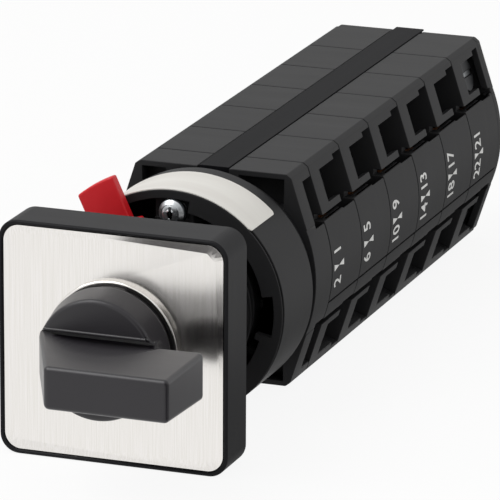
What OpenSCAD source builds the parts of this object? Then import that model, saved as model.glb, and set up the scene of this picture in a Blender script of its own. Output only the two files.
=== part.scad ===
// Small changeover cam switch for one round hole in a panel, six contact modules long.
// Millimetres. The switch lies along +Y: the knob faces -Y and the modules run away from it.
// The origin is on the shaft's axis, in the plane where the front plate's seal meets the panel.

/* [Front plate] */
// Width and height of the square front plate
plate_w = 30; // [29:0.5:40]
// Thickness of the front plate
plate_t = 6.6; // [6:0.1:9]
// Corner radius of the front plate
plate_corner_r = 2.5; // [1.5:0.1:4]
// Width of the black lip round the metal legend plate
lip_w = 0.7; // [0.5:0.1:1.5]
// Depth of the legend plate's pocket below the lip
pocket_d = 0.9; // [0.8:0.05:1.2]
// Thickness of the metal legend plate
legend_t = 0.35; // [0.2:0.05:0.5]
// Height of the legend plate's raised centre above its rim
legend_rise = 0.35; // [0.2:0.05:0.5]
// Width of the sloping border round the raised centre
legend_slope_w = 1; // [0.6:0.1:2]
// Outer radius of the raised ring round the knob
legend_ring_r = 8.6; // [8.4:0.1:10]
// Width of that ring
legend_ring_w = 0.55; // [0.4:0.05:0.8]
// Height of that ring
legend_ring_h = 0.5; // [0.2:0.05:0.8]

/* [Panel fixing] */
// Outer radius of the bush that passes through the panel's hole
bush_r = 11; // [10.8:0.05:11.1]
// Outer radius of the rubber seal
seal_r = 13.6; // [12.5:0.1:14]
// Thickness of the rubber seal
seal_t = 1.2; // [0.8:0.1:2]
// How far the seal stands out of the front plate's back
seal_stand = 0.3; // [0.1:0.05:0.5]
// Space left for the panel between the seal and the ring nut
panel_gap = 4.5; // [4.4:0.1:5]
// Outer radius of the ring nut
nut_r = 12.2; // [12:0.1:14]
// Length of the ring nut
nut_l = 2.6; // [2:0.1:4.8]
// Depth of the ring nut's grip notches
nut_notch_d = 0.5; // [0.3:0.1:0.7]

/* [Latch lever] */
// Thickness of the lever
lever_t = 1.6; // [1.2:0.1:2]
// Width of the lever's tab
lever_w = 5.4; // [4:0.1:7]
// Radius from the shaft's axis to the tab's outer edge
lever_r = 17.9; // [17:0.1:20]
// Outer radius of the lever's open ring
lever_ring_r = 12; // [11.6:0.1:12.1]
// Direction in which the tab points, seen from the front
lever_a = 115; // [108:1:125]
// Distance between the ring nut and the lever
lever_gap = 3.5; // [1:0.1:4]

/* [Knob] */
// Radius of the knob's rim
knob_r = 8.3; // [8.2:0.1:9]
// Radius of the knob's flat front
knob_front_r = 7.7; // [7.2:0.1:8.1]
// Radius of the hub that passes through the front plate
hub_r = 7.2; // [6.5:0.1:7.3]
// Distance from the front plate to the back of the knob's rim
knob_gap = 1.2; // [1.1:0.1:3.5]
// Depth of the knob's round body
knob_body_h = 4.4; // [3.6:0.1:6]
// Height of the grip in front of the knob's body
grip_h = 12.2; // [8:0.2:16]
// Thickness of the grip where it meets the body
grip_t = 6; // [4.5:0.1:7]
// Thickness of the grip at its front
grip_front_t = 5.4; // [4:0.1:6]
// Distance from the axis to the grip's pointer end
grip_reach = 14.4; // [9:0.1:14.5]
// Distance from the axis to the grip's other end at the body
grip_back_reach = 7.3; // [6:0.1:7.5]
// How far that end slopes in towards the front
grip_slope = 5.6; // [1:0.1:6.5]
// Space between the body and the back of the overhanging pointer end
grip_lift = 0.7; // [0.5:0.1:2]

/* [Shaft] */
// Side of the square drive shaft
shaft_w = 5; // [4.6:0.1:5.2]
// Radius of the bearing hubs on the knob, the cams and the detent wheel
journal_r = 4.5; // [4.2:0.05:4.8]
// Radial running clearance of those hubs
journal_clear = 0.05; // [0.02:0.01:0.1]

/* [Adapter drum] */
// Outer radius of the drum's wide front part
drum_r = 14.8; // [14.4:0.1:16]
// Wall of the drum
drum_wall = 1.1; // [0.8:0.1:1.2]
// Length of the drum
drum_l = 14.6; // [13:0.1:17]
// Length of its wide front part
drum_band_l = 11.4; // [10:0.1:12]
// Outer radius behind that
drum_back_r = 13.5; // [13.4:0.1:14]
// Distance from the latch lever to the drum's front
drum_gap = 0.9; // [0.6:0.1:1.5]
// Inner radius of the drum's front ring
drum_ring_r = 12.2; // [12.1:0.1:12.6]
// Thickness of the drum's front ring
drum_ring_t = 1.2; // [0.8:0.1:2]
// Thickness of the drum's back wall
drum_floor_t = 4.2; // [3.8:0.1:5]
// Outer radius of the bush's neck inside the drum
neck_r = 9.6; // [9:0.05:9.8]
// Wall of the sleeve that holds the neck
sleeve_wall = 0.7; // [0.5:0.05:0.8]
// Thickness of the paper label on the drum
label_t = 0.12; // [0.05:0.01:0.3]
// Width of that label
label_w = 8.6; // [5:0.1:10]

/* [Contact stack] */
// Half of the stack's height
stack_h2 = 14.05; // [13.9:0.05:14.5]
// Half of the stack's greatest width, at the numbered side faces
stack_w2 = 14.05; // [13.9:0.05:14.5]
// Half of the width of the flat top
top_w2 = 10.45; // [10:0.05:11]
// Radius of the numbered side faces
side_r = 18.4; // [16:0.2:24]
// Length of the detent housing
detent_l = 6.3; // [6.2:0.1:10]
// Length of one contact module
pitch = 11.6; // [10.8:0.1:13]
// Thickness of a module's front wall
wall_t = 1.6; // [1.2:0.1:2]
// Width of the rib between two terminal windows
rib_w = 3.2; // [2.8:0.1:3.6]
// Thickness of the ribs and of their feet
rib_t = 1; // [0.7:0.05:1.2]
// Height of the long slot beside the side face
slot_h = 0.8; // [0.5:0.05:0.9]
// Half of the side face's height
face_h2 = 6.5; // [6:0.1:6.6]
// Thickness of the back cover
cover_t = 1.5; // [1.2:0.1:3]

/* [Contacts] */
// Radius of a cam's raised part
cam_r = 6; // [5.6:0.05:6.1]
// Thickness of a cam
cam_t = 5; // [3.5:0.1:6]
// Thickness of the copper strips
strip_t = 0.8; // [0.5:0.05:0.9]
// Width of the copper strips
strip_w = 4; // [3:0.1:4.8]
// Radius of a contact tip
tip_r = 1.1; // [0.8:0.05:1.2]
// Thickness of a contact tip
tip_t = 0.6; // [0.4:0.05:0.65]
// How far a bridge moves from open to closed
contact_stroke = 1; // [0.6:0.05:1]
// Radius of a terminal screw's head
screw_head_r = 2.4; // [2:0.05:2.6]
// Height of a terminal screw's head
screw_head_h = 1.4; // [1:0.05:1.6]
// Side of the square washer under it
washer_w = 5; // [4.4:0.1:5.2]
// Radius of a terminal screw's thread
screw_r = 1.4; // [1.2:0.05:1.5]

/* [Detent] */
// Radius of the detent wheel's crests
detent_r = 7; // [6.8:0.05:7.1]
// Depth of its four valleys
detent_d = 0.9; // [0.6:0.05:1]
// Thickness of the detent wheel
detent_t = 3.6; // [3:0.1:4.2]
// Thickness of the spring leaves that click into the valleys
leaf_t = 0.5; // [0.3:0.05:0.6]

/* [Tie bolts] */
// Radius of the long tie bolts
bolt_r = 1; // [0.9:0.05:1.1]
// Distance from the shaft's axis to a tie bolt's axis
bolt_z = 11.9; // [11.8:0.05:11.95]
// Radius of a tie bolt's head
bolt_head_r = 1.75; // [1.4:0.05:1.75]
// Height of a tie bolt's head
bolt_head_h = 1.6; // [1.2:0.05:1.8]
// Width across a tie nut's flats
nut_af = 3.6; // [3.3:0.1:3.7]
// Thickness of a tie nut
tie_nut_t = 1.6; // [1:0.1:2]
// Width of the insulating strips that cover the bolts
strip_cover_w = 4.05; // [3.5:0.05:4.5]
// Thickness of those strips
strip_cover_t = 0.85; // [0.7:0.05:0.9]

/* [Hidden] */
$fn = 64;
module_count = 6;
fit = 0.05;
slack = 0.1;
eps = 0.01;

// Places along the switch, from front to back
plate_back_y = -seal_stand;
plate_y = plate_back_y - plate_t;
pocket_y = plate_y + pocket_d;
bush_y = plate_y + plate_t / 2 - 0.3;
lever_y = panel_gap + nut_l + lever_gap;
drum_y = lever_y + lever_t + drum_gap;
head_y = drum_y - 0.6;
bearing_y = head_y + bolt_head_h;
stack_y = drum_y + drum_l;
modules_y = stack_y + detent_l;
cover_y = modules_y + module_count * pitch;
end_y = cover_y + cover_t;

// Knob
rim_y = plate_y - knob_gap;
body_y = rim_y - knob_body_h;
grip_y = body_y - grip_h;
foot_x = knob_front_r - 0.2;
hub_y = bush_y - 2 * slack;
rim_l = 0.5;
spigot_y = bush_y + 10;
socket_w = shaft_w + 2 * fit;
foot_groove_w = 0.2;
foot_groove_d = 2.4;
foot_groove_z = grip_t / 2 - 1.3;
foot_y = body_y + foot_groove_d + 0.2;
grip_hollow_x = 1.8;
grip_hollow_r = 20;
grip_hollow_d = 1.2;
grip_hollow_tilt = 11;
shaft_y = rim_y - 0.5;

// Bush and lever
groove_d = 0.4;
lever_bore_r = bush_r - groove_d + fit;
collar_l = 0.2;
neck_end_y = stack_y - drum_floor_t - 2 * slack;
lever_from = 106;
lever_to = 315;
lever_offset = 2.1;
peg_a = 127;
peg_span = 6;
peg_l = 1.6;

// Label on the drum
label_y = drum_y + 0.2;
label_from = 45;
label_to = 140;
label_corner_r = 0.8;

// The sloping faces above and below the side faces, and the terminals behind them
slope = (15.03 - top_w2) / stack_h2;
slope_z = face_h2 + slot_h;
normal_len = sqrt(1 + slope * slope);
screw_z = (slope_z + stack_h2) / 2 - 0.33;
screw_x = top_w2 + (stack_h2 - screw_z) * slope;
// Point at a depth below the sloping face and a distance up it from the screw's axis
function face_pt(d, v) = [
    screw_x - d / normal_len - v * slope / normal_len,
    screw_z - d * slope / normal_len + v / normal_len
];
face_angle = atan(slope);
foot_v = (slope_z - screw_z) * normal_len;
window_v = 2.15;
peak_v = 2.8;
peak_l = 2.9;
foot_t = 0.95;
foot_l = 4.1;
end_rib_w = 1;
side_line_z = -4.4;
side_line_w = 0.3;
side_line_d = 0.8;
head_d = 2.6;
open_screw_out = 1.4;
washer_t = 0.8;
strip_d = head_d + screw_head_h + washer_t;
chamber_d = strip_d + strip_t;
screw_y = (rib_w + pitch) / 2;

// Contacts, on the right-hand side with the bridge lifted by the highest part of its cam
plunger_x = cam_r + fit;
plunger_t = 2.6;
bridge_x = cam_r + 3.6;
tip_z = 3.9;
fixed_tip_x = bridge_x - tip_t - contact_stroke - fit - tip_t;
fixed_strip_x = fixed_tip_x - strip_t;
bridge_h2 = 4.9;
chamber_x = stack_w2 - 1.45;
chamber_h2 = tip_z + 0.6;
spring_r = 1.2;
spring_wire_r = 0.2;
spring_turns = 3;

// Detent
valley_r = 2.2;
bead_r = 1.8;
leaf_x = detent_r - detent_d + fit + bead_r;
leaf_h2 = 8.4;
leaf_space_h2 = 3.5;
recess_x = top_w2 - 0.85;
recess_z = stack_h2 - 0.75;
recess_d = 2.4;
recess_w = 3.2;
recess_h = 2.9;
wide_recess_w = 6;
wide_recess_h = 3.8;
detent_y = stack_y + wall_t + (detent_l - wall_t) / 2;

// Insulating strips over the bolts
strip_z = stack_h2 + 0.1 - strip_cover_t;
channel_w2 = strip_cover_w / 2 + 0.13;

// Extrudes a drawing of the X-Z plane, as seen from the front, from one Y to another
module along_y(from, to) {
    translate([0, to, 0]) rotate([90, 0, 0]) linear_extrude(to - from) children();
}

// A round bar on the shaft's axis
module rod(r, from, to) {
    translate([0, from, 0]) rotate([-90, 0, 0]) cylinder(r = r, h = to - from);
}

// Revolves a drawing of radius and Y about the shaft's axis
module turned() {
    rotate([-90, 0, 0]) rotate_extrude() children();
}

module rounded_square(w, r) {
    square([w, w - 2 * r], center = true);
    square([w - 2 * r, w], center = true);
    for (x = [-1, 1], z = [-1, 1]) translate([x * (w / 2 - r), z * (w / 2 - r)]) circle(r);
}

module ring(outer, inner) {
    difference() {
        circle(outer);
        circle(inner);
    }
}

// A slice of a pie, from one angle to another, for angles less than 180 degrees apart
module slice(from, to, r = 40) {
    mid = (from + to) / 2;
    polygon([[0, 0], r * [cos(from), sin(from)], 1.5 * r * [cos(mid), sin(mid)], r * [cos(to), sin(to)]]);
}

module both_sides() {
    children();
    mirror([1, 0, 0]) children();
}

module all_four() {
    both_sides() {
        children();
        mirror([0, 0, 1]) children();
    }
}

// Coil spring along +X, its wire a ring of flat-sided sections
module coil(length, r, wire_r, turns) {
    steps = 10;
    sides = 5;
    n = steps * turns;
    rise = length - 2 * wire_r;
    function wire_pt(i, j) = let (
        a = 360 * i / steps,
        b = 360 * j / sides,
        radius = r + wire_r * sin(b)
    ) [wire_r + rise * i / n + wire_r * cos(b), radius * cos(a), radius * sin(a)];
    points = [for (i = [0:n], j = [0:sides - 1]) wire_pt(i, j)];
    skin = [for (i = [0:n - 1], j = [0:sides - 1]) let (
        a = i * sides + j,
        b = i * sides + (j + 1) % sides
    ) [a, b, b + sides, a + sides]];
    start = [for (j = [sides - 1:-1:0]) j];
    end = [for (j = [0:sides - 1]) n * sides + j];
    polyhedron(points, concat([start], skin, [end]));
}

// Cross-section of the contact stack: a flat top and bottom, sloping faces and bulging sides
module stack_section(inset = 0) {
    h = stack_h2 - inset;
    w = top_w2 - inset;
    belly = w + h * slope;
    corner = 0.5;
    bulge_h2 = face_h2 + slot_h / 2;
    intersection() {
        polygon([
            [w - corner, h], [w + corner * slope, h - corner], [belly, 0],
            [w + corner * slope, corner - h], [w - corner, -h],
            [corner - w, -h], [-w - corner * slope, corner - h], [-belly, 0],
            [-w - corner * slope, h - corner], [corner - w, h]
        ]);
        union() {
            intersection() {
                translate([stack_w2 - inset - side_r, 0]) circle(side_r, $fn = 128);
                translate([side_r + inset - stack_w2, 0]) circle(side_r, $fn = 128);
            }
            for (side = [-1, 1]) translate([0, side * (bulge_h2 + 10)]) square([40, 20], center = true);
        }
    }
}

// Length of stack with the bolt grooves and the channels for the strips that cover them
module stack_block(from, to) {
    difference() {
        union() {
            along_y(from, to - 0.15) stack_section();
            along_y(to - 0.15 - eps, to) stack_section(0.18);
        }
        for (side = [-1, 1]) along_y(from - 1, to + 1) {
            translate([0, side * bolt_z]) circle(bolt_r + 0.15);
            translate([0, side * (bolt_z + 2)]) square([2 * bolt_r + 0.3, 4], center = true);
            translate([0, side * (strip_z + 2)]) square([2 * channel_w2, 4], center = true);
        }
    }
}

// Hollow behind a sloping face: the terminal's chamber and its way to the contact chamber
module chamber_section() {
    polygon([
        face_pt(rib_t, peak_v), face_pt(chamber_d, peak_v), face_pt(chamber_d, foot_v + 1),
        [fixed_strip_x - slack, tip_z + 1.9], [fixed_strip_x - slack, 4],
        [chamber_x, 4], [chamber_x, face_h2 + slot_h / 2], face_pt(rib_t, foot_v - 1)
    ]);
}

// Opening through the sloping face, between two distances up it
module window(from, to, low, high) {
    along_y(from, to) polygon([
        face_pt(-2, low), face_pt(-2, high), face_pt(rib_t + eps, high), face_pt(rib_t + eps, low)
    ]);
}

// The long slot between the ribs' feet and the side face
module long_slot(from, to) {
    along_y(from, to) polygon([
        [screw_x - 0.2, face_h2], [stack_w2 + 2, face_h2], [stack_w2 + 2, slope_z], [screw_x - 0.2, slope_z]
    ]);
}

module front_frame() color("#2b2b2c") difference() {
    along_y(plate_y, plate_back_y) rounded_square(plate_w, plate_corner_r);
    along_y(plate_y - 1, pocket_y) rounded_square(plate_w - 2 * lip_w, plate_corner_r - lip_w / 2);
    rod(hub_r + 2 * slack, pocket_y - 1, bush_y + 1);
    rod(bush_r + fit, bush_y, 1);
    rod(seal_r + fit, -seal_t, 1);
}

module legend_plate() {
    w = plate_w - 2 * lip_w - 2 * slack;
    r = plate_corner_r - lip_w / 2 - slack;
    top_y = pocket_y - legend_t - legend_rise;
    color("#c9c9c6") difference() {
        union() {
            along_y(pocket_y - legend_t, pocket_y) rounded_square(w, r, $fn = 32);
            hull() {
                along_y(pocket_y - legend_t, pocket_y - legend_t + eps) rounded_square(w, r, $fn = 32);
                along_y(top_y, top_y + eps)
                    rounded_square(w - 2 * legend_slope_w, r - legend_slope_w / 2, $fn = 32);
            }
            along_y(top_y - legend_ring_h, top_y + legend_rise) circle(legend_ring_r);
        }
        rod(legend_ring_r - legend_ring_w, top_y - 5, top_y);
        rod(hub_r + 2 * slack, top_y - 1, pocket_y + 1);
    }
}

module panel_seal() color("#1a1a1a") along_y(-seal_t, 0) ring(seal_r, bush_r + slack);

module panel_bush() color("#262627") difference() {
    turned() polygon([
        [journal_r + journal_clear, bush_y], [bush_r, bush_y], [bush_r, lever_y - slack],
        [bush_r - groove_d, lever_y - slack], [bush_r - groove_d, lever_y + lever_t + slack],
        [bush_r, lever_y + lever_t + slack], [bush_r, lever_y + lever_t + slack + collar_l],
        [neck_r, lever_y + lever_t + slack + collar_l], [neck_r, neck_end_y],
        [neck_r - 2, neck_end_y], [neck_r - 2, spigot_y + 1], [journal_r + journal_clear, spigot_y + 1]
    ]);
    // Flat groove for the nib of a keyed panel hole
    translate([-1, -slack, bush_r - 0.6]) cube([2, panel_gap + nut_l, 2]);
}

module ring_nut() color("#202021") difference() {
    along_y(panel_gap, panel_gap + nut_l) ring(nut_r, bush_r + fit);
    for (a = [15:30:345]) rotate([0, a, 0])
        translate([nut_r - nut_notch_d, panel_gap - 1, -1]) cube([2, nut_l + 2, 2]);
}

// Flat finger grip with a hollow in both sides, deepest at the grip's foot
module grip() difference() {
    intersection() {
        linear_extrude(4 * grip_t, center = true) polygon([
            [-grip_back_reach, body_y], [grip_slope - grip_back_reach, grip_y],
            [grip_reach - 0.3, grip_y], [grip_reach, body_y - grip_lift],
            [foot_x, body_y - grip_lift], [foot_x, foot_y], [-foot_x, foot_y]
        ]);
        translate([-30, 0, 0]) rotate([90, 0, 90]) linear_extrude(60) polygon([
            [foot_y, -grip_t / 2], [body_y, -grip_t / 2], [grip_y, -grip_front_t / 2],
            [grip_y, grip_front_t / 2], [body_y, grip_t / 2], [foot_y, grip_t / 2]
        ]);
    }
    for (side = [-1, 1])
        translate([grip_hollow_x, body_y, side * (grip_t / 2 + grip_hollow_r - grip_hollow_d)])
            rotate([-side * grip_hollow_tilt, 0, 0]) rod(grip_hollow_r, -grip_h, 2 * foot_groove_d);
}

module knob() color("#303032") difference() {
    union() {
        difference() {
            turned() polygon([
                [0, body_y], [knob_front_r - 0.3, body_y], [knob_front_r, body_y + 0.3],
                [knob_r, rim_y - rim_l], [knob_r, rim_y - 0.3], [knob_r - 0.3, rim_y],
                [hub_r, rim_y], [hub_r, hub_y], [journal_r, hub_y], [journal_r, spigot_y], [0, spigot_y]
            ]);
            // Undercut that gives the face a straight edge on both sides of the grip's foot
            rotate([90, 0, 90]) linear_extrude(3 * knob_r, center = true) polygon([
                [body_y - 1, grip_t / 2 + foot_groove_w], [body_y, grip_t / 2 + foot_groove_w],
                [body_y + foot_groove_d, foot_groove_z], [body_y + foot_groove_d, -foot_groove_z],
                [body_y, -grip_t / 2 - foot_groove_w], [body_y - 1, -grip_t / 2 - foot_groove_w]
            ]);
        }
        grip();
    }
    along_y(shaft_y - slack, spigot_y + 1) square(socket_w, center = true);
}

module drive_shaft() color("#b8b8b4") {
    along_y(shaft_y, cover_y + 0.2) square(shaft_w, center = true);
    rod(shaft_w / 2 - 0.2, cover_y + 0.2 - eps, end_y - 0.5);
}

module lock_lever() color("#a8232a") difference() {
    union() {
        along_y(lever_y, lever_y + lever_t) {
            difference() {
                ring(lever_ring_r, lever_bore_r);
                slice(lever_to - 360, 30);
                slice(29, lever_from);
            }
            intersection() {
                circle(lever_r);
                rotate(lever_a) translate([lever_ring_r - 1.2, lever_offset - lever_w / 2])
                    square([lever_r, lever_w]);
            }
        }
        along_y(lever_y + lever_t - eps, lever_y + lever_t + peg_l) intersection() {
            ring(lever_ring_r, bush_r + slack);
            slice(peg_a - peg_span / 2, peg_a + peg_span / 2);
        }
    }
}

module adapter_drum() {
    inner_r = drum_r - drum_wall;
    floor_y = stack_y - drum_floor_t;
    sleeve_r = neck_r + fit + sleeve_wall;
    color("#2e2e30") difference() {
        union() {
            turned() polygon([
                [drum_ring_r, drum_y], [drum_r, drum_y], [drum_r, drum_y + 0.3],
                [drum_r - 0.4, drum_y + 0.3], [drum_r - 0.4, drum_y + 0.8], [drum_r, drum_y + 0.8],
                [drum_r, drum_y + drum_band_l], [drum_back_r, drum_y + drum_band_l],
                [drum_back_r, stack_y], [journal_r + 0.4, stack_y], [journal_r + 0.4, floor_y],
                [neck_r + fit, floor_y], [neck_r + fit, bearing_y + 1], [sleeve_r, bearing_y + 1],
                [sleeve_r, floor_y], [inner_r, floor_y], [inner_r, drum_y + drum_ring_t],
                [drum_ring_r, drum_y + drum_ring_t]
            ]);
            // Pillars under the bolts' heads
            for (side = [-1, 1]) along_y(bearing_y, floor_y + eps) intersection() {
                ring(inner_r + eps, sleeve_r - eps);
                translate([0, side * bolt_z]) square([5.2, 8], center = true);
            }
            // Ribs between the sleeve and the wall
            for (a = [0, 35, 145, 180, 215, 325]) rotate([0, -a, 0])
                translate([sleeve_r - eps, drum_y + 4, -0.5]) cube([inner_r - sleeve_r + 2 * eps, drum_band_l - 4.5, 1]);
            // Tooth at the lower edge of the side notch
            along_y(drum_y, drum_y + drum_ring_t) intersection() {
                ring(drum_ring_r + eps, drum_ring_r - 0.7);
                slice(-17, -13);
            }
        }
        // Cut-out in the front ring for the lever's peg and the upper bolt's head
        along_y(drum_y - 1, drum_y + drum_ring_t + eps) intersection() {
            ring(inner_r, drum_ring_r - 1);
            slice(80, 133);
        }
        // The same cut-out for the lower bolt's head
        along_y(drum_y - 1, drum_y + drum_ring_t + eps) intersection() {
            ring(inner_r, drum_ring_r - 1);
            slice(260, 280);
        }
        // Side notch in the front ring
        along_y(drum_y - 1, drum_y + drum_ring_t + eps) intersection() {
            ring(inner_r - 0.1, drum_ring_r - 1);
            slice(-13, 10);
        }
        for (side = [-1, 1]) translate([0, 0, side * bolt_z]) rod(bolt_r + slack, drum_y - 1, stack_y + 1);
    }
}

// Rounds the two corners at one end of the label
module label_corners() for (back = [0, 1])
    translate([drum_r - 1, label_y + back * label_w, 0]) mirror([0, back, 0]) difference() {
        translate([0, -1, -1]) cube([3, label_corner_r + 1, label_corner_r + 1]);
        translate([-1, label_corner_r - fit, label_corner_r - fit]) rotate([0, 90, 0])
            cylinder(r = label_corner_r, h = 5);
    }

module drum_label() color("#e4e2dc") difference() {
    along_y(label_y, label_y + label_w) intersection() {
        ring(drum_r + label_t, drum_r);
        slice(label_from, label_to);
    }
    rotate([0, -label_from, 0]) label_corners();
    rotate([0, -label_to, 0]) mirror([0, 0, 1]) label_corners();
}

module tie_bolts() color("#b9bcbf") for (side = [-1, 1]) translate([0, 0, side * bolt_z]) difference() {
    union() {
        rod(bolt_r, bearing_y - eps, end_y + tie_nut_t + 0.4);
        turned() polygon([
            [0, head_y], [bolt_head_r - 0.6, head_y], [bolt_head_r, head_y + 0.6],
            [bolt_head_r, bearing_y], [0, bearing_y]
        ]);
    }
    for (a = [0, 90]) rotate([0, a, 0]) translate([-0.9, head_y - 1, -0.2]) cube([1.8, 1.8, 0.4]);
}

module tie_nuts() color("#b9bcbf") for (side = [-1, 1]) translate([0, 0, side * bolt_z]) difference() {
    along_y(end_y, end_y + tie_nut_t) circle(nut_af / sqrt(3), $fn = 6);
    rod(bolt_r, end_y - 1, end_y + tie_nut_t + 1);
}

module bolt_cover() {
    translate([channel_w2 - strip_cover_w - fit, stack_y + 0.2, strip_z])
        cube([strip_cover_w, end_y - stack_y - 0.2, strip_cover_t]);
    translate([channel_w2 - strip_cover_w - fit, end_y - eps, strip_z + strip_cover_t - 0.25])
        cube([strip_cover_w, 0.7, 0.25]);
}

module bolt_cover_top() color("#3c3c3e") bolt_cover();

module bolt_cover_bottom() color("#3c3c3e") mirror([0, 0, 1]) bolt_cover();

module detent_housing() {
    color("#38383a") difference() {
        stack_block(stack_y, modules_y);
        rod(journal_r + journal_clear, stack_y - 1, modules_y + 1);
        rod(detent_r + 0.4, stack_y + wall_t, modules_y + 1);
        both_sides() translate([0, stack_y + wall_t, -leaf_space_h2])
            cube([leaf_x + leaf_t + 1, detent_l, 2 * leaf_space_h2]);
        // Slots that hold the ends of the spring leaves
        both_sides() translate([leaf_x - fit, detent_y - detent_t / 2 - fit, -leaf_h2 - fit])
            cube([leaf_t + 2 * fit, detent_l, 2 * leaf_h2 + 2 * fit]);
        all_four() {
            along_y(stack_y + rib_w, modules_y + 1) chamber_section();
            window(stack_y + rib_w, modules_y + 1, foot_v - 1, window_v);
            long_slot(stack_y + rib_w, modules_y + 1);
        }
        // Moulding recesses in the front face, at the corners that the drum leaves open
        for (z = [0, 1]) mirror([0, 0, z]) {
            translate([-recess_x, stack_y - 1, recess_z - recess_h]) cube([recess_w, recess_d + 1, recess_h]);
            translate([recess_x - wide_recess_w, stack_y - 1, recess_z - wide_recess_h])
                cube([wide_recess_w, recess_d + 1, wide_recess_h]);
        }
    }
}

module detent_wheel() color("#d8d4c4") difference() {
    union() {
        rod(journal_r, stack_y + slack, modules_y - slack);
        along_y(detent_y - detent_t / 2, detent_y + detent_t / 2) difference() {
            circle(detent_r);
            for (a = [0:90:270]) rotate(a) translate([detent_r - detent_d + valley_r, 0]) circle(valley_r);
        }
    }
    along_y(stack_y - 1, modules_y + 1) square(socket_w, center = true);
}

// Upright spring leaf whose rounded bead rests in the valley of the wheel
module detent_leaf() color("#a9abad") along_y(detent_y - detent_t / 2, detent_y + detent_t / 2) {
    translate([leaf_x, -leaf_h2]) square([leaf_t, 2 * leaf_h2]);
    difference() {
        translate([leaf_x, 0]) circle(bead_r);
        translate([leaf_x, 0]) circle(bead_r - leaf_t);
        translate([leaf_x, -bead_r - 1]) square(2 * bead_r + 2);
    }
}

module detent_leaf_left() mirror([1, 0, 0]) detent_leaf();

module detent_leaf_right() detent_leaf();

module back_cover() color("#38383a") difference() {
    along_y(cover_y, end_y) stack_section(0.1);
    rod(shaft_w / 2 - 0.2 + fit, cover_y - 1, end_y - 0.4);
    along_y(cover_y - 1, cover_y + 0.3) circle(shaft_w * 0.72);
    for (side = [-1, 1]) {
        translate([0, 0, side * bolt_z]) rod(bolt_r + slack, cover_y - 1, end_y + 1);
        along_y(cover_y - 1, end_y + 1) translate([0, side * (strip_z + 2)])
            square([2 * channel_w2, 4], center = true);
    }
}

// Start of a module along the stack
function module_y(k) = modules_y + (k - 1) * pitch;

module contact_module(k) {
    y = module_y(k);
    // The last module has a rib at its back as well
    window_end = y + pitch + (k < module_count ? 1 : -end_rib_w);
    color("#38383a") difference() {
        stack_block(y, y + pitch);
        rod(journal_r + journal_clear, y - 1, y + pitch + 1);
        rod(cam_r + 0.2, y + wall_t, y + pitch + 1);
        // Contact chambers behind the two side faces
        both_sides() translate([fixed_strip_x - slack, y + wall_t, -chamber_h2])
            cube([chamber_x - fixed_strip_x + slack, pitch, 2 * chamber_h2]);
        // Guides of the plungers
        both_sides() translate([0, y + wall_t, -plunger_t / 2 - fit])
            cube([fixed_strip_x + slack, pitch, plunger_t + 2 * fit]);
        all_four() {
            along_y(y + wall_t, y + pitch + 1) chamber_section();
            window(y + rib_w, y + rib_w + foot_l, foot_v + foot_t, window_v);
            window(y + rib_w + foot_l - eps, window_end, foot_v - 1, window_v);
            window(y + pitch - peak_l, window_end, 0, peak_v);
            long_slot(y - 1, y + pitch + 1);
            // Holes that the ends of the terminal screws turn in
            translate([screw_x, y + screw_y, screw_z]) rotate([0, 90 - face_angle, 0])
                translate([0, 0, -chamber_d - 2.6]) cylinder(r = screw_r + 0.15, h = 4);
        }
        // Moulded line along the lower part of each side face
        both_sides() translate([stack_w2 - side_line_d, y - 1, side_line_z]) cube([2, pitch + 2, side_line_w]);
    }
}

// Cam whose radius falls evenly from its right-hand side round to its left-hand side
module cam(k) {
    y = module_y(k);
    mid = y + screw_y;
    color("#d8d4c4") difference() {
        union() {
            rod(journal_r, y + slack, y + pitch - slack);
            along_y(mid - cam_t / 2, mid + cam_t / 2) polygon([
                for (a = [-174:6:180]) (cam_r - contact_stroke * abs(a) / 180) * [cos(a), sin(a)]
            ]);
        }
        along_y(y - 1, y + pitch + 1) square(socket_w, center = true);
    }
}

// Copper strip from a terminal down to its contact tip
module fixed_contact(y) {
    along_y(y + screw_y - strip_w / 2, y + screw_y + strip_w / 2) difference() {
        polygon([
            face_pt(strip_d, 2.7), face_pt(chamber_d, 2.7), face_pt(chamber_d, foot_v + 0.6),
            [fixed_strip_x, tip_z + 1.5], [fixed_strip_x, tip_z - 1.2],
            [fixed_strip_x + strip_t, tip_z - 1.2], [fixed_strip_x + strip_t, tip_z + 0.95],
            face_pt(strip_d, foot_v)
        ]);
    }
    translate([fixed_tip_x, y + screw_y, tip_z]) rotate([0, 90, 0]) cylinder(r = tip_r, h = tip_t);
}

module fixed_contacts(k) color("#b87945") all_four() difference() {
    fixed_contact(module_y(k));
    translate([screw_x, module_y(k) + screw_y, screw_z]) rotate([0, 90 - face_angle, 0])
        translate([0, 0, -chamber_d - 1]) cylinder(r = screw_r, h = 3);
}

// Terminal screw with its square washer, turned out by some distance
module terminal_screw(out) {
    translate([0, 0, out]) difference() {
        union() {
            translate([0, 0, -chamber_d - 2.4]) cylinder(r = screw_r, h = chamber_d + 2.4 - head_d - 0.2);
            translate([0, 0, -head_d - screw_head_h]) cylinder(r = screw_head_r, h = screw_head_h);
        }
        translate([-screw_head_r - 1, -0.35, -head_d - 0.7]) cube([2 * screw_head_r + 2, 0.7, 1]);
    }
    difference() {
        translate([-washer_w / 2, -washer_w / 2, -strip_d]) cube([washer_w, washer_w, washer_t]);
        translate([0, 0, -strip_d - 1]) cylinder(r = screw_r, h = washer_t + 2);
    }
}

module terminal_screws(k) color("#8f9396") all_four() translate([screw_x, module_y(k) + screw_y, screw_z])
    rotate([0, 90 - face_angle, 0]) rotate([0, 0, 90]) terminal_screw(k == module_count ? open_screw_out : 0);

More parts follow.
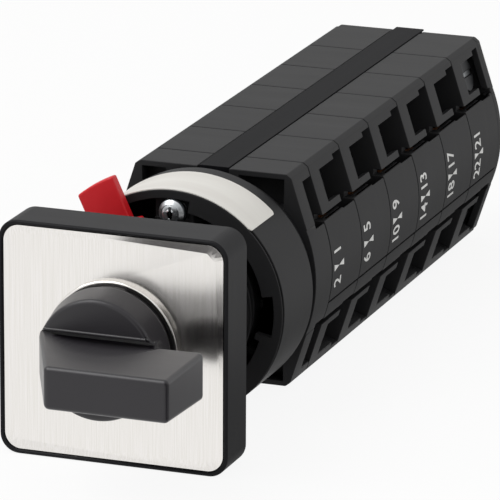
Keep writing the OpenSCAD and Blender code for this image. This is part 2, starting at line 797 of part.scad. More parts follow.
// Plunger and copper bridge of the right-hand contact, lifted off its fixed tips
module contact_bridge(y) {
    mid = y + screw_y;
    translate([plunger_x, mid - 1.5, -plunger_t / 2]) cube([bridge_x - plunger_x + eps, 3, plunger_t]);
    translate([bridge_x, mid - strip_w / 2 + 0.2, -bridge_h2]) cube([strip_t, strip_w - 0.4, 2 * bridge_h2]);
    for (z = [-tip_z, tip_z]) translate([bridge_x - tip_t, mid, z]) rotate([0, 90, 0])
        cylinder(r = tip_r, h = tip_t + eps);
}

// The left-hand contact is closed, so its plunger stands one stroke further in
module contact_bridge_left(k) color("#c08552") translate([contact_stroke, 0, 0]) mirror([1, 0, 0])
    contact_bridge(module_y(k));

module contact_bridge_right(k) color("#c08552") contact_bridge(module_y(k));

module contact_springs(start_x) color("#a8a8a8") for (k = [1:module_count])
    translate([start_x, module_y(k) + screw_y, 0]) coil(chamber_x - start_x, spring_r, spring_wire_r, spring_turns);

module contact_springs_left() mirror([1, 0, 0]) contact_springs(bridge_x + strip_t - contact_stroke);

module contact_springs_right() contact_springs(bridge_x + strip_t);

front_frame();
legend_plate();
panel_seal();
panel_bush();
ring_nut();
knob();
drive_shaft();
adapter_drum();
drum_label();
lock_lever();
tie_bolts();
tie_nuts();
bolt_cover_top();
bolt_cover_bottom();
detent_housing();
detent_wheel();
detent_leaf_left();
detent_leaf_right();
back_cover();
for (k = [1:module_count]) {
    contact_module(k);
    cam(k);
    fixed_contacts(k);
    terminal_screws(k);
    contact_bridge_left(k);
    contact_bridge_right(k);
}
contact_springs_left();
contact_springs_right();
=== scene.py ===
"""Changeover cam switch: materials, finished pieces, floor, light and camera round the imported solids."""
from math import copysign, cos, hypot, pi, radians, sin, sqrt

import bmesh
import bpy
from mathutils import Matrix, Vector


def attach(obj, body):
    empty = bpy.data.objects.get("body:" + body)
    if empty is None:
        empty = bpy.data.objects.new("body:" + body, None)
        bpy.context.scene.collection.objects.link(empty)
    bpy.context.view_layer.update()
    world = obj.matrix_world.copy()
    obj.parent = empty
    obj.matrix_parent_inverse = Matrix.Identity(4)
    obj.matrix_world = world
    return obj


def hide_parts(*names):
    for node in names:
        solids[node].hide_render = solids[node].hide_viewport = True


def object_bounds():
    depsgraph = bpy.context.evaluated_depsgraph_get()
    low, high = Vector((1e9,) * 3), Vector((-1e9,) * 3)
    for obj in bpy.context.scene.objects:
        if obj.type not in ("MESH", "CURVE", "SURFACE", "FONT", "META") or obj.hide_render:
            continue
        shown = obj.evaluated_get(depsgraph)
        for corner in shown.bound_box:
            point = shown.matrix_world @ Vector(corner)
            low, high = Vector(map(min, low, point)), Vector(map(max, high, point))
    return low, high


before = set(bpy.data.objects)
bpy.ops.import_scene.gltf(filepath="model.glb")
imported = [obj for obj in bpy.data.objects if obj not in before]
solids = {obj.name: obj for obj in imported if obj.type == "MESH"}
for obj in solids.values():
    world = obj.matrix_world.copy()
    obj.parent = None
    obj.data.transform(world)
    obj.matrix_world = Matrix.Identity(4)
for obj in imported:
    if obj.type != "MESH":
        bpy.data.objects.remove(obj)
cad_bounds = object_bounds()

# The switch's own sizes are in millimetres
MM = 0.001
MODULES = range(1, 7)
MODULE_PITCH = 11.6
FIRST_MODULE_Y = 34.0
# The bolts: their distance from the shaft's axis, and the reach of the cross recess in their heads
BOLT_Z, RECESS_R = 11.9, 0.95
# The sloping faces over the terminals: their direction, their distance from the shaft's axis, and how far
# the floors of the screws' slots lie below them, less for the last module's screws, which stand further out
FACE_COS, FACE_SIN = cos(radians(18.05)), sin(radians(18.05))
FACE_OUT = 14.29
SLOT_DEEP = 3.3
OPEN_SCREW_OUT = 1.4
# How much the slots of the screws are filled, so that their floors, which carry a painted highlight in a
# paler steel, catch the light
SLOT_RISE = 0.4
# The front frame: a plane in its pocket, one behind its front edges, half of the pocket's width, the radius
# of the pocket's corners and where their centres are, and how much is taken off the lip
POCKET_Y, LIP_EDGE_Y = -6.1, -6.5
LIP_INNER, LIP_INNER_R = 14.3, 2.15
POCKET_CORNER = LIP_INNER - LIP_INNER_R
LIP_THINNER = 0.15
# The reach of the lip's inner corners, and the least reach of those on the legend plate's rim
LIP_REACH = (1.8, 2.35)
RIM_REACH = 1.6
# The legend plate: how far its middle is set back, the front of its rim, and a plane that only its raised
# ring stands in front of
LEGEND_SINK, LEGEND_RIM_Y, RING_FOOT_Y = 0.3, -6.7, -6.75
# The corners of its middle: where their centres are in the solid, and the radius that runs even with the
# pocket's corners
MIDDLE_CORNER, MIDDLE_CORNER_R = 11.65, 1.05
# The knob: the front of its body, the foot of its grip, and the back of its sloping rim
BODY_Y, GRIP_FOOT_Y, RIM_BACK_Y = -12.5, -12.8, -8.0
# The back end of the hollows beside the grip: its depth and half length, the height where it begins and the
# one that it is raised towards, and how much of the way it goes
HOLLOW_END, HOLLOW_SIDE = (-11.65, -11.3), 7.2
HOLLOW_FOOT, HOLLOW_TOP = 1.2, 2.45
HOLLOW_RAISED = 0.7
# The beads along the grip: radius, length and distance from the axis
BEAD_R, BEAD_L, BEAD_Z = 0.22, 13.1, 3.42


# Colours and nodes

# The values of a pattern at which a material has its dark and its light colour
PATTERN_RANGE = (0.35, 0.65)


def srgb(code):
    """An sRGB hex colour as the linear colour that a shader takes."""
    parts = [int(code[i:i + 2], 16) / 255 for i in (1, 3, 5)]
    return [p / 12.92 if p <= 0.04045 else ((p + 0.055) / 1.055) ** 2.4 for p in parts] + [1.0]


def add_node(tree, kind, settings=None, **inputs):
    """Adds one node. An input is a value or the socket that feeds it; underscores stand for spaces.

    Inputs that share one name are given by their places, as _0 and _1."""
    node = tree.nodes.new(kind)
    for name, value in (settings or {}).items():
        setattr(node, name, value)
    for name, value in inputs.items():
        socket = node.inputs[int(name[1:]) if name[1:].isdigit() else name.replace("_", " ")]
        if isinstance(value, bpy.types.NodeSocket):
            tree.links.new(value, socket)
        else:
            socket.default_value = value
    return node


def new_material(name):
    """An empty material, its node tree and the place on the piece that its patterns read."""
    material = bpy.data.materials.new(name)
    material.use_nodes = True
    tree = material.node_tree
    tree.nodes.clear()
    return material, tree, add_node(tree, "ShaderNodeTexCoord").outputs["Object"]


def close_material(tree, pattern, dark, light, roughness, uneven, **inputs):
    """Ends a material. As a pattern's value rises, the colour goes from dark to light, and the roughness from
    less to more by as much as it is uneven."""
    ramp = add_node(tree, "ShaderNodeValToRGB", Fac=pattern)
    for stop, value, colour in zip(ramp.color_ramp.elements, PATTERN_RANGE, (dark, light)):
        stop.position = value
        stop.color = srgb(colour)
    dull = add_node(tree, "ShaderNodeMapRange", Value=pattern, To_Min=roughness - uneven,
                    To_Max=roughness + uneven)
    shader = add_node(tree, "ShaderNodeBsdfPrincipled", Base_Color=ramp.outputs["Color"],
                      Roughness=dull.outputs["Result"], **inputs)
    add_node(tree, "ShaderNodeOutputMaterial", Surface=shader.outputs["BSDF"])


def moulded(name, dark, light, roughness, gloss=0.5, grain=0.3, depth=0.012, flow=(20.8, 2.78, 20.8),
            ior=1.53, bloom=0.0):
    """Injection-moulded plastic: the eroded grain of its tool, so wide and deep, and faint flow marks across
    the part, so wide each way. All are in millimetres.

    A grain too fine to be drawn holds back the shine at low angles, which the gloss level stands for. Bloom
    is the pale haze that a handled moulding shows at low angles."""
    material, tree, place = new_material(name)
    grains = add_node(tree, "ShaderNodeTexNoise", Vector=place, Scale=1 / (grain * MM), Detail=3.0)
    flowing = add_node(tree, "ShaderNodeMapping", Vector=place, Scale=[1 / (width * MM) for width in flow])
    marks = add_node(tree, "ShaderNodeTexNoise", Vector=flowing.outputs["Vector"], Scale=1.0, Detail=4.0)
    relief = add_node(tree, "ShaderNodeBump", Height=grains.outputs["Fac"], Strength=0.6, Distance=depth * MM)
    close_material(tree, marks.outputs["Fac"], dark, light, roughness, uneven=0.06,
                   Specular_IOR_Level=gloss, IOR=ior, Normal=relief.outputs["Normal"],
                   Sheen_Weight=bloom, Sheen_Roughness=0.35)
    return material


def brushed(name, dark, light, roughness, scratch=(0.16, 0.16, 10.7), depth=0.006):
    """Metal brushed one way: scratches so wide, long and deep, in millimetres. They are drawn a little
    coarser than the real ones, so that they show."""
    material, tree, place = new_material(name)
    drawn_out = add_node(tree, "ShaderNodeMapping", Vector=place, Scale=[1 / (size * MM) for size in scratch])
    lines = add_node(tree, "ShaderNodeTexNoise", Vector=drawn_out.outputs["Vector"], Scale=1.0,
                     Detail=2.0).outputs["Fac"]
    relief = add_node(tree, "ShaderNodeBump", Height=lines, Strength=0.4, Distance=depth * MM)
    close_material(tree, lines, dark, light, roughness, uneven=0.04, Metallic=1.0,
                   Normal=relief.outputs["Normal"])
    return material


def plated(name, dark, light, roughness, patch=1.2, depth=0.006):
    """Zinc plating or bare sheet: a thin bright coat with a cloudy tone from handling, its patches so wide
    and deep in millimetres."""
    material, tree, place = new_material(name)
    clouds = add_node(tree, "ShaderNodeTexNoise", Vector=place, Scale=1 / (patch * MM),
                      Detail=3.0).outputs["Fac"]
    relief = add_node(tree, "ShaderNodeBump", Height=clouds, Strength=0.4, Distance=depth * MM)
    close_material(tree, clouds, dark, light, roughness, uneven=0.1, Metallic=1.0,
                   Normal=relief.outputs["Normal"])
    return material


# Polyamide housing, moulded in charcoal black: matt, with a fine even grain
HOUSING = moulded("moulded_polyamide_charcoal", "#1f1f20", "#242425", roughness=0.5, gloss=0.13)
# The frame behind the metal plate is the same polyamide from a finer tool
FRAME_PLASTIC = moulded("moulded_polyamide_frame", "#161618", "#1b1b1d", roughness=0.45, gloss=0.1,
                        grain=0.22)
# The knob's tool is polished a little more, so its edges carry thin highlights, and hands have dulled it
KNOB_PLASTIC = moulded("moulded_polyamide_knob", "#141117", "#19161b", roughness=0.36, grain=0.25,
                       depth=0.008, bloom=0.25)
# Extruded strip over the bolts: smoother than the mouldings beside it
STRIP_PLASTIC = moulded("extruded_strip_charcoal", "#111113", "#151517", roughness=0.5, gloss=0.03,
                        flow=(3.125, 125.0, 3.125))
# Latch lever: glass-filled polyamide, dyed red through and satin
LEVER_PLASTIC = moulded("moulded_polyamide_red", "#c0171f", "#cc1d26", roughness=0.45, gloss=0.3,
                        grain=0.35, flow=(6.25, 6.25, 6.25))
# Cams and star wheel: undyed polyamide, milky and slightly waxy
NATURAL_PLASTIC = moulded("moulded_polyamide_natural", "#cfc9b6", "#ddd8c9", roughness=0.45)
# Nitrile rubber seal: matt, no gloss
RUBBER = moulded("moulded_nitrile_rubber", "#111112", "#161617", roughness=0.75, gloss=0.3, grain=0.4,
                 ior=1.5)
# Self-adhesive polyester label, bare
LABEL_FILM = moulded("polyester_label_film", "#d3d0ca", "#dbd9d3", roughness=0.5, grain=0.5, depth=0.003)
# White pad-printed ink
INK = moulded("pad_printed_ink_white", "#c9c9c7", "#dededc", roughness=0.6, grain=0.4, depth=0.002)
# Legend plate: aluminium brushed upright, then clear anodised
PLATE_METAL = brushed("brushed_anodised_aluminium", "#e9e6e1", "#f0edea", roughness=0.2)
# Bolts and nuts: steel, bright zinc
BRIGHT_ZINC = plated("zinc_plated_steel_bright", "#aeb2b5", "#d6d9db", roughness=0.32)
# Terminal screws and washers: steel, zinc passivated black; the floors of their slots get a paler steel as a
# painted highlight
BLACK_ZINC = plated("zinc_plated_steel_black", "#2b2c2e", "#3a3b3d", roughness=0.4)
PAINTED_SLOT_HIGHLIGHT = plated("zinc_plated_steel_painted_highlight", "#9a9da0", "#b9bcbe", roughness=0.35)
# Contact strips and bridges: rolled copper alloy, its own tone darkened as painted shade for the dim inside
# of the housing
CONTACT_COPPER = plated("rolled_copper_alloy", "#6b4429", "#865a37", roughness=0.45)
# Spring wire and the detent's leaves
SPRING_STEEL = plated("drawn_spring_steel", "#85888b", "#a9acaf", roughness=0.32)


# Which edges are rounded

def middle(edge):
    return (edge.verts[0].co + edge.verts[1].co) / 2 / MM


def every(edge):
    return True


def convex(edge):
    return edge.is_convex


def lip_edge(edge):
    return middle(edge).y < LIP_EDGE_Y and convex(edge)


def ring_edge(edge):
    """The edges of the legend plate's raised ring."""
    return middle(edge).y < RING_FOOT_Y


def grip_edge(edge):
    return middle(edge).y < GRIP_FOOT_Y and convex(edge)


def knob_rim_edge(edge):
    return GRIP_FOOT_Y < middle(edge).y < RIM_BACK_Y and convex(edge)


def bolt_outline(edge):
    """The outer edges of the bolts' heads and ends, not the cross recesses."""
    place = middle(edge)
    return hypot(place.x, abs(place.z) - BOLT_Z) > RECESS_R


# Pieces made from the solids

def merged_copy(node, whole_faces=True):
    """The solid's mesh with its doubled corners merged and, unless it is bent later, its flat faces whole."""
    bm = bmesh.new()
    bm.from_mesh(solids[node].data)
    bmesh.ops.remove_doubles(bm, verts=bm.verts, dist=0.0004 * MM)
    if whole_faces:
        bmesh.ops.dissolve_limit(bm, angle_limit=radians(0.3), verts=bm.verts, edges=bm.edges)
    return bm


def round_edges(bm, width, pick=convex, angle=30, segments=2):
    """Rounds the edges where two faces meet at more than the angle, as a moulding's or a casting's are."""
    edges = [e for e in bm.edges if e.is_manifold and e.calc_face_angle() > radians(angle) and pick(e)]
    bmesh.ops.bevel(bm, geom=edges, offset=width * MM, offset_type="OFFSET", affect="EDGES",
                    segments=segments, profile=0.5, clamp_overlap=False, material=-1)


def place_piece(name, bm, body, material, replaced=(), crease=35):
    """Turns a bmesh into a piece that rides on a body and stands for the solids named. Its shading is smooth
    across all but the edges that bend by more than the crease, in degrees."""
    mesh = bpy.data.meshes.new(name)
    bm.to_mesh(mesh)
    bm.free()
    mesh.shade_smooth()
    mesh.set_sharp_from_angle(angle=radians(crease))
    mesh.materials.append(material)
    piece = bpy.data.objects.new(name, mesh)
    bpy.context.scene.collection.objects.link(piece)
    even = piece.modifiers.new("flat faces stay flat", "WEIGHTED_NORMAL")
    even.keep_sharp = True
    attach(piece, body)
    if replaced:
        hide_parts(*replaced)
    return piece


def soften(node, body, material, width, pick=convex, segments=2):
    """A finished copy of a solid, its edges rounded by the width."""
    bm = merged_copy(node)
    round_edges(bm, width, pick, segments=segments)
    place_piece(node + "_finished", bm, body, material, [node])


def dress(material, *nodes):
    """Gives solids that are shown as they are their material."""
    for node in nodes:
        slots = solids[node].data.materials
        slots.clear()
        slots.append(material)


def reach(vert):
    """How far a corner lies outside the square between the centres of the pocket's rounded corners."""
    return hypot(max(abs(vert.co.x) / MM - POCKET_CORNER, 0), max(abs(vert.co.z) / MM - POCKET_CORNER, 0))


def widen(vert):
    """Moves a corner at the pocket's edge outwards, by as much as the lip is thinner."""
    vert.co.x *= 1 + LIP_THINNER / LIP_INNER
    vert.co.z *= 1 + LIP_THINNER / LIP_INNER


def finish_front_frame():
    """The front frame, its lip a little thinner than in the solid."""
    bm = merged_copy("front_frame")
    for vert in bm.verts:
        if vert.co.y < POCKET_Y * MM and LIP_REACH[0] < reach(vert) < LIP_REACH[1]:
            widen(vert)
    round_edges(bm, width=0.25, pick=lip_edge)
    place_piece("front_frame_finished", bm, "housing", FRAME_PLASTIC, ["front_frame"])


def finish_legend_plate():
    """The legend plate as a shallow dish, whose border slopes up to the lip's front and is equally wide all
    round."""
    bm = merged_copy("legend_plate", whole_faces=False)
    for vert in bm.verts:
        in_front = vert.co.y < POCKET_Y * MM
        if reach(vert) > RIM_REACH:
            widen(vert)
            if in_front:
                vert.co.y = LEGEND_RIM_Y * MM
        elif in_front and vert.co.y > RING_FOOT_Y * MM:
            vert.co.y += LEGEND_SINK * MM
            x, z = abs(vert.co.x) / MM - MIDDLE_CORNER, abs(vert.co.z) / MM - MIDDLE_CORNER
            # On a rounded corner of the middle, its ends too
            if min(x, z) > -0.01:
                stretch = MIDDLE_CORNER_R / hypot(x, z)
                vert.co.x = copysign((POCKET_CORNER + x * stretch) * MM, vert.co.x)
                vert.co.z = copysign((POCKET_CORNER + z * stretch) * MM, vert.co.z)
    round_edges(bm, width=0.18, pick=ring_edge, angle=16, segments=6)
    place_piece("legend_plate_finished", bm, "housing", PLATE_METAL, ["legend_plate"],
                crease=16)


def finish_knob():
    """The knob with rounded edges, with softer hollows beside its grip than the solid has, and with the fine
    beads in which those hollows end on its face."""
    bm = merged_copy("knob")
    for vert in bm.verts:
        x, y, z = vert.co / MM
        at_end = HOLLOW_END[0] < y < HOLLOW_END[1] and abs(x) < HOLLOW_SIDE
        if at_end and HOLLOW_FOOT < abs(z) < HOLLOW_TOP:
            vert.co.z = copysign((abs(z) + HOLLOW_RAISED * (HOLLOW_TOP - abs(z))) * MM, z)
    round_edges(bm, width=0.6, pick=grip_edge, angle=50, segments=4)
    round_edges(bm, width=0.25, pick=knob_rim_edge, segments=3)
    for side in (-1, 1):
        made = bmesh.ops.create_cone(bm, cap_ends=True, segments=20, radius1=BEAD_R * MM, radius2=BEAD_R * MM,
                                     depth=BEAD_L * MM)["verts"]
        bmesh.ops.rotate(bm, verts=made, cent=(0, 0, 0), matrix=Matrix.Rotation(pi / 2, 3, "Y"))
        bmesh.ops.translate(bm, verts=made, vec=(0, BODY_Y * MM, side * BEAD_Z * MM))
    place_piece("knob_finished", bm, "rotor", KNOB_PLASTIC, ["knob"])


def finish_screws(k):
    """The terminal screws of one module: black heads whose slots carry a painted highlight, a paler steel, at
    the bottom.
    """
    node = "terminal_screws_%d" % k
    bm = merged_copy(node)
    round_edges(bm, width=0.12)
    slot_floor = FACE_OUT - SLOT_DEEP + (OPEN_SCREW_OUT if k == MODULES[-1] else 0)
    for face in bm.faces:
        centre = face.calc_center_median() / MM
        outwards = Vector((copysign(FACE_COS, centre.x), 0, copysign(FACE_SIN, centre.z)))
        # On the floor of a slot, nearly enough
        if face.normal.dot(outwards) > 0.98 and abs(centre.dot(outwards) - slot_floor) < 0.1:
            # Painted highlight: the slot's floor takes the paler steel
            face.material_index = 1
            bmesh.ops.translate(bm, verts=face.verts, vec=outwards * SLOT_RISE * MM)
    piece = place_piece(node + "_finished", bm, "housing", BLACK_ZINC, [node])
    piece.data.materials.append(PAINTED_SLOT_HIGHLIGHT)


finish_front_frame()
finish_legend_plate()
finish_knob()
soften("lock_lever", "lever", LEVER_PLASTIC, width=0.25, segments=3)
for moulding, width in (("panel_bush", 0.12), ("ring_nut", 0.15), ("adapter_drum", 0.12),
                        ("detent_housing", 0.12), ("back_cover", 0.15)):
    soften(moulding, "housing", HOUSING, width)
for strip in ("bolt_cover_top", "bolt_cover_bottom"):
    soften(strip, "housing", STRIP_PLASTIC, width=0.08, pick=every)
soften("tie_bolts", "housing", BRIGHT_ZINC, width=0.75, pick=bolt_outline, segments=5)
soften("tie_nuts", "housing", BRIGHT_ZINC, width=0.12)
for k in MODULES:
    soften("contact_module_%d" % k, "housing", HOUSING, width=0.1)
    finish_screws(k)
    for contact in ("fixed_contacts_%d", "contact_bridge_left_%d", "contact_bridge_right_%d"):
        dress(CONTACT_COPPER, contact % k)
    dress(NATURAL_PLASTIC, "cam_%d" % k)
dress(SPRING_STEEL, "contact_springs_left", "contact_springs_right", "detent_leaf_left", "detent_leaf_right")
dress(NATURAL_PLASTIC, "detent_wheel")
dress(BRIGHT_ZINC, "drive_shaft")
dress(RUBBER, "panel_seal")
dress(LABEL_FILM, "drum_label")


# Numbers and contact signs on the side faces

# The side faces bulge: their radius, and how far they stand from the shaft's axis at half height
SIDE_R, SIDE_X = 18.4, 14.05
# A digit's height, also as a share of the font's size, how much narrower and how much bolder it is made
DIGIT_HEIGHT, DIGIT_SHARE = 2.5, 0.7
DIGIT_NARROWING, DIGIT_BOLDER = 0.72, 0.04
SIGN_LENGTH, SIGN_HEIGHT = 1.8, 0.85
# Where the odd number, the even one and the sign between them stand: behind the seam, and in height
NUMBER_IN, NUMBER_Z = 2.3, (2.25, -1.95)
SIGN_IN, SIGN_Z = 2.5, 0.2
INK_T, INK_RISE = 0.03, 0.03


def side_surface(z):
    """X of the bulging side face at a height, raised so that the ink stands on it."""
    return sqrt((SIDE_R + INK_RISE) ** 2 - z * z) - (SIDE_R - SIDE_X)


def printed_number(text, y, z, side):
    """One number as a thin film of ink, reading upwards, its thickness along X."""
    curve = bpy.data.curves.new("number", "FONT")
    curve.body = text
    curve.align_x = "CENTER"
    curve.align_y = "CENTER"
    curve.size = DIGIT_HEIGHT * MM / DIGIT_SHARE
    curve.offset = DIGIT_BOLDER * MM
    curve.extrude = INK_T / 2 * MM
    holder = bpy.data.objects.new("number", curve)
    bpy.context.scene.collection.objects.link(holder)
    bpy.context.view_layer.update()
    mesh = bpy.data.meshes.new_from_object(holder.evaluated_get(bpy.context.evaluated_depsgraph_get()))
    bpy.data.objects.remove(holder)
    upward = Matrix(((0, 0, side, 0), (0, -side, 0, 0), (DIGIT_NARROWING, 0, 0, 0), (0, 0, 0, 1)))
    mesh.transform(Matrix.Translation((0, y * MM, z * MM)) @ upward)
    return mesh


def contact_sign(bm, y, z):
    """The sign between two numbers: two filled triangles whose tips meet. The three-sided cone of radius one
    that each is scaled from is one and a half long and the root of three high."""
    radius = SIGN_LENGTH / 1.5
    for way in (-1, 1):
        made = bmesh.ops.create_cone(bm, cap_ends=True, segments=3, radius1=1, radius2=1, depth=1)["verts"]
        bmesh.ops.rotate(bm, verts=made, cent=(0, 0, 0), matrix=Matrix.Rotation(pi / 2, 3, "Y"))
        bmesh.ops.scale(bm, verts=made, vec=(INK_T * MM, -way * radius * MM, SIGN_HEIGHT / sqrt(3) * MM))
        bmesh.ops.translate(bm, verts=made, vec=(0, (y + way * radius) * MM, z * MM))


def side_print(side, name):
    """The print on one side face, 1 for the right and -1 for the left: two numbers and a sign to a module."""
    bm = bmesh.new()
    for k in MODULES:
        seam = FIRST_MODULE_Y + MODULE_PITCH * (k - 1)
        first = 4 * k - 3 if side > 0 else 4 * k - 1
        for number, z in zip((first, first + 1), NUMBER_Z):
            mesh = printed_number(str(number), seam + NUMBER_IN, z, side)
            bm.from_mesh(mesh)
            bpy.data.meshes.remove(mesh)
        contact_sign(bm, seam + SIGN_IN, SIGN_Z)
    for vert in bm.verts:
        vert.co.x += side * side_surface(vert.co.z / MM) * MM
    bmesh.ops.remove_doubles(bm, verts=bm.verts, dist=0.001 * MM)
    bmesh.ops.recalc_face_normals(bm, faces=bm.faces)
    place_piece(name, bm, "housing", INK)


side_print(1, "numbers_right")
side_print(-1, "numbers_left")


# Floor, light and camera. Places and distances are in metres here

FLOOR_HALF = 3
FLOOR_GAP = 0.00002
# The share of what the camera sees of the floor that is plain white
FLOOR_WHITE = 0.9
# The floor's three patches of painted shade in gloss. An edge goes from where a patch begins to where it is
# whole.
# Close by on the right: its left and front edge, the places past which it is darker and then nearly pale
# again, and what it takes away in each
SHADE_X, SHADE_Y = (0.01, 0.014), (-0.01, -0.002)
SHADE_OUT_X, SHADE_BACK_Y = (0.026, 0.04), (0.03, 0.038)
SHADE_NEAR, SHADE_OUT, SHADE_BACK = 0.6, 0.92, 0.1
# In front on the right: the direction and the place of its slanting edge, its back edge, and what it takes
CARD_ACROSS, CARD_ASIDE, CARD_Y = (1, 0.62, 0), (0.006, 0.016), (-0.014, -0.024)
CARD_LOSS = 0.95
# On the left: its right and front edge, and what it leaves
LEFT_X, LEFT_Y = (-0.044, -0.052), (-0.055, -0.045)
LEFT_SHINE = 0.45
# The world's strength as light and in gloss, and the black card in it, a painted dark reflection seen only in
# gloss:
# its direction, the cosines at its edge and its strength
SKY_LIGHT, SKY_SHINE = 0.6, 0.92
FLAG_WAY, FLAG_EDGE = (0.66, -0.74, 0.12), (0.86, 0.93)
FLAG_SHINE = 0.03
# What the lamps point at
LAMP_AIM = (0, 0.04, 0)
# The camera stands so many degrees to the right of the knob's axis and above it, so far from a point on it
VIEW_TURN, VIEW_RISE = 21.1, 16.9
VIEW_AWAY, VIEW_AIM = 0.678, (0, 0.0131, 0)
# Its picture's size, where that point lies in it and the focal length, all in pixels, and its sensor in mm
PICTURE, AIM_PIXEL = 500, (171.3, 304.1)
FOCAL, SENSOR = 5410.0, 36.0


def floor_material():
    """Pale board: it shows white to the camera and in gloss, and still takes a soft shadow.

    In gloss it has three patches of painted shade: close by on the right, where the switch shades it from the
    lamps, in front on the right, below the world's black card, and on the left, for the border of the legend
    plate."""
    material, tree, place = new_material("pale_board")
    board = add_node(tree, "ShaderNodeBsdfDiffuse", Color=srgb("#e9e9e8"))
    ray = add_node(tree, "ShaderNodeLightPath").outputs
    spot = add_node(tree, "ShaderNodeSeparateXYZ", Vector=place).outputs
    beside = add_node(tree, "ShaderNodeMapRange", Value=spot["X"], From_Min=SHADE_X[0], From_Max=SHADE_X[1])
    behind = add_node(tree, "ShaderNodeMapRange", Value=spot["Y"], From_Min=SHADE_Y[0], From_Max=SHADE_Y[1])
    far = add_node(tree, "ShaderNodeMapRange", Value=spot["Y"], From_Min=SHADE_BACK_Y[0],
                   From_Max=SHADE_BACK_Y[1], To_Min=SHADE_OUT, To_Max=SHADE_BACK)
    depth = add_node(tree, "ShaderNodeMapRange", Value=spot["X"], From_Min=SHADE_OUT_X[0],
                     From_Max=SHADE_OUT_X[1], To_Min=SHADE_NEAR, To_Max=far.outputs["Result"])
    corner = add_node(tree, "ShaderNodeMath", {"operation": "MULTIPLY"}, _0=beside.outputs["Result"],
                      _1=behind.outputs["Result"])
    shade = add_node(tree, "ShaderNodeMath", {"operation": "MULTIPLY"}, _0=corner.outputs[0],
                     _1=depth.outputs["Result"])
    aside = add_node(tree, "ShaderNodeVectorMath", {"operation": "DOT_PRODUCT"}, _0=place,
                     _1=CARD_ACROSS).outputs["Value"]
    right = add_node(tree, "ShaderNodeMapRange", Value=aside, From_Min=CARD_ASIDE[0], From_Max=CARD_ASIDE[1])
    front = add_node(tree, "ShaderNodeMapRange", Value=spot["Y"], From_Min=CARD_Y[0], From_Max=CARD_Y[1],
                     To_Max=CARD_LOSS)
    card = add_node(tree, "ShaderNodeMath", {"operation": "MULTIPLY"}, _0=right.outputs["Result"],
                    _1=front.outputs["Result"])
    beyond = add_node(tree, "ShaderNodeMapRange", Value=spot["Y"], From_Min=LEFT_Y[0], From_Max=LEFT_Y[1],
                      To_Min=1.0, To_Max=LEFT_SHINE)
    outside = add_node(tree, "ShaderNodeMapRange", Value=spot["X"], From_Min=LEFT_X[0], From_Max=LEFT_X[1],
                       To_Min=1.0, To_Max=beyond.outputs["Result"])
    left_over = add_node(tree, "ShaderNodeMath", {"operation": "SUBTRACT"}, _0=outside.outputs["Result"],
                         _1=shade.outputs[0])
    shine = add_node(tree, "ShaderNodeMath", {"operation": "SUBTRACT"}, _0=left_over.outputs[0],
                     _1=card.outputs[0])
    # In gloss the floor's white is cut by the painted shade of the three patches
    glow = add_node(tree, "ShaderNodeMapRange", Value=ray["Is Glossy Ray"], To_Min=1.0,
                    To_Max=shine.outputs[0])
    light = add_node(tree, "ShaderNodeEmission", Color=srgb("#ffffff"), Strength=glow.outputs["Result"])
    seen = add_node(tree, "ShaderNodeMath", {"operation": "MULTIPLY"}, _0=ray["Is Camera Ray"],
                    _1=FLOOR_WHITE)
    share = add_node(tree, "ShaderNodeMath", {"operation": "MAXIMUM"}, _0=seen.outputs[0],
                     _1=ray["Is Glossy Ray"])
    mix = add_node(tree, "ShaderNodeMixShader", Fac=share.outputs[0], _1=board.outputs["BSDF"],
                   _2=light.outputs["Emission"])
    add_node(tree, "ShaderNodeOutputMaterial", Surface=mix.outputs["Shader"])
    return material


def make_floor():
    bm = bmesh.new()
    bmesh.ops.create_grid(bm, x_segments=1, y_segments=1, size=FLOOR_HALF)
    bmesh.ops.translate(bm, verts=bm.verts, vec=(0, 0, cad_bounds[0][2] - FLOOR_GAP))
    mesh = bpy.data.meshes.new("floor")
    bm.to_mesh(mesh)
    bm.free()
    mesh.materials.append(floor_material())
    floor = bpy.data.objects.new("floor", mesh)
    bpy.context.scene.collection.objects.link(floor)


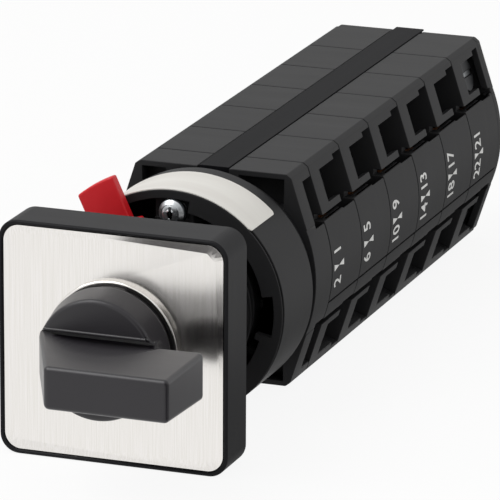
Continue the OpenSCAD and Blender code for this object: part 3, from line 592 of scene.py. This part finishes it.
def make_world():
    """White all round to the camera, a little less in gloss, and less again as light on the switch.

    A black card in front, to the right, is painted into the gloss only: a painted reflection that darkens
    what the knob's right side shows in its gloss."""
    world = bpy.data.worlds.new("studio")
    world.use_nodes = True
    tree = world.node_tree
    tree.nodes.clear()
    ray = add_node(tree, "ShaderNodeLightPath").outputs
    way = add_node(tree, "ShaderNodeTexCoord").outputs["Generated"]
    towards_flag = add_node(tree, "ShaderNodeVectorMath", {"operation": "DOT_PRODUCT"}, _0=way,
                            _1=FLAG_WAY).outputs["Value"]
    # Painted reflection: the black card darkens the world in gloss only
    shine = add_node(tree, "ShaderNodeMapRange", Value=towards_flag, From_Min=FLAG_EDGE[0],
                     From_Max=FLAG_EDGE[1], To_Min=SKY_SHINE, To_Max=FLAG_SHINE)
    unseen = add_node(tree, "ShaderNodeMapRange", Value=ray["Is Glossy Ray"], To_Min=SKY_LIGHT,
                      To_Max=shine.outputs["Result"])
    strength = add_node(tree, "ShaderNodeMapRange", Value=ray["Is Camera Ray"],
                        To_Min=unseen.outputs["Result"], To_Max=1.0)
    studio = add_node(tree, "ShaderNodeBackground", Color=srgb("#ffffff"),
                      Strength=strength.outputs["Result"])
    add_node(tree, "ShaderNodeOutputWorld", Surface=studio.outputs["Background"])
    bpy.context.scene.world = world


def add_softbox(name, place, side, power):
    """A square lamp that points at the switch."""
    lamp = bpy.data.lights.new(name, "AREA")
    lamp.shape = "RECTANGLE"
    lamp.size = side
    lamp.size_y = side
    lamp.energy = power
    box = bpy.data.objects.new(name, lamp)
    box.location = place
    box.rotation_euler = (Vector(LAMP_AIM) - Vector(place)).to_track_quat("-Z", "Y").to_euler()
    bpy.context.scene.collection.objects.link(box)
    return box


def make_camera():
    """The photograph's viewpoint. The point on the axis that it is set by isn't in the middle of the picture,
    so the camera looks past it."""
    turn, rise = radians(VIEW_TURN), radians(VIEW_RISE)
    back = Vector((sin(turn) * cos(rise), -cos(turn) * cos(rise), sin(rise)))
    right = Vector((cos(turn), sin(turn), 0))
    up = back.cross(right)
    place = Vector(VIEW_AIM) + back * VIEW_AWAY
    past_right, past_up = PICTURE / 2 - AIM_PIXEL[0], AIM_PIXEL[1] - PICTURE / 2
    look = (-back + right * past_right / FOCAL + up * past_up / FOCAL).normalized()
    side = look.cross(up).normalized()
    top = side.cross(look)
    lens = bpy.data.cameras.new("camera")
    lens.sensor_width = SENSOR
    lens.lens = FOCAL / PICTURE * SENSOR
    lens.clip_start = 0.01
    camera = bpy.data.objects.new("camera", lens)
    camera.matrix_world = Matrix(((side.x, top.x, -look.x, place.x), (side.y, top.y, -look.y, place.y),
                                  (side.z, top.z, -look.z, place.z), (0, 0, 0, 1)))
    bpy.context.scene.collection.objects.link(camera)
    bpy.context.scene.camera = camera


make_floor()
make_world()
add_softbox("key_left_above", (-0.35, -0.25, 0.55), side=0.5, power=3.0)
add_softbox("fill_right", (0.6, -0.3, 0.25), side=0.4, power=0.8).visible_glossy = False
make_camera()
bpy.context.scene.view_settings.view_transform = "Standard"
